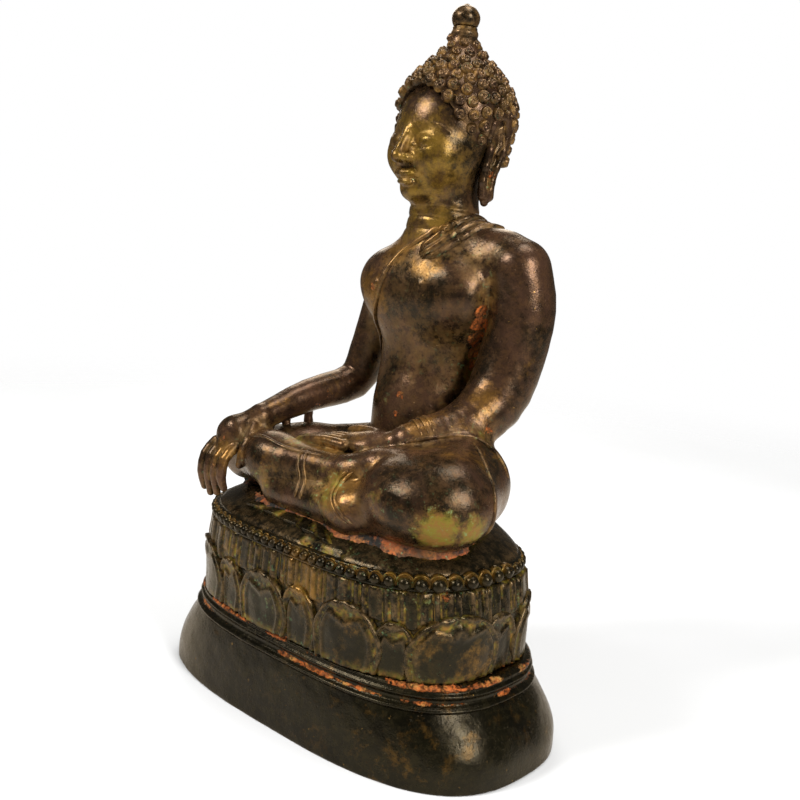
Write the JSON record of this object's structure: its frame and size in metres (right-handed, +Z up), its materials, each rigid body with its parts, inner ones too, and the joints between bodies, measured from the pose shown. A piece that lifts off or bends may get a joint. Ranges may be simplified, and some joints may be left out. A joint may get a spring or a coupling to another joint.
{
  "type": "seated buddha statue",
  "caption": "Aged bronze seated Buddha in the earth-touching pose on a lotus throne with a plain flared plinth; the lotus-bud finial lifts out.",
  "frame": {"origin": "centre of the plinth's foot, on the surface it stands on", "axes": "+Z up, the figure faces -Y, its left side is +X"},
  "size_m": [0.2191, 0.1369, 0.35],
  "materials": {
    "aged_bronze": "dark brown aged bronze, worn satin on high places, ochre and green patina in low ones",
    "face_bronze": "ochre-gold worn bronze",
    "hair_bronze": "dark aged bronze with orange residue between the curls",
    "throne_bronze": "dark aged bronze with verdigris and orange residue in the relief",
    "orange_filler": "matt orange clay and lacquer residue",
    "clay_core": "fired clay core",
    "core_iron": "rusty iron"
  },
  "bodies": {
    "statue": {"plinth": "throne_bronze", "base_mouldings": "throne_bronze", "lotus_drum": "throne_bronze", "outer_petals": "throne_bronze", "inner_petals": "throne_bronze", "stamen_band": "throne_bronze", "throne_rim": "throne_bronze", "bead_row": "throne_bronze", "seat_plate": "throne_bronze", "seat_cloth": "throne_bronze", "seat_bedding": "orange_filler", "seat_tenons": "aged_bronze", "tenon_pins": "core_iron", "torso": "aged_bronze", "torso_core": "clay_core", "armature_rod": "core_iron", "core_pins": "core_iron", "neck": "face_bronze", "head": "face_bronze", "ears": "face_bronze", "hair_cap": "hair_bronze", "hair_curls": "hair_bronze", "crown_socket": "hair_bronze", "right_arm": "aged_bronze", "right_hand": "aged_bronze", "left_arm": "aged_bronze", "left_hand": "aged_bronze", "right_leg": "aged_bronze", "right_foot": "aged_bronze", "left_leg": "aged_bronze", "robe_edge": "aged_bronze", "robe_flap": "aged_bronze", "robe_hems": "aged_bronze", "casting_struts": "aged_bronze"},
    "finial": {"finial": "hair_bronze"}
  },
  "joints": [
    {"name": "finial_lift", "type": "slide", "parent": "statue", "child": "finial", "axis": [0, 0, 1], "range_m": [0, 0.016]}
  ]
}
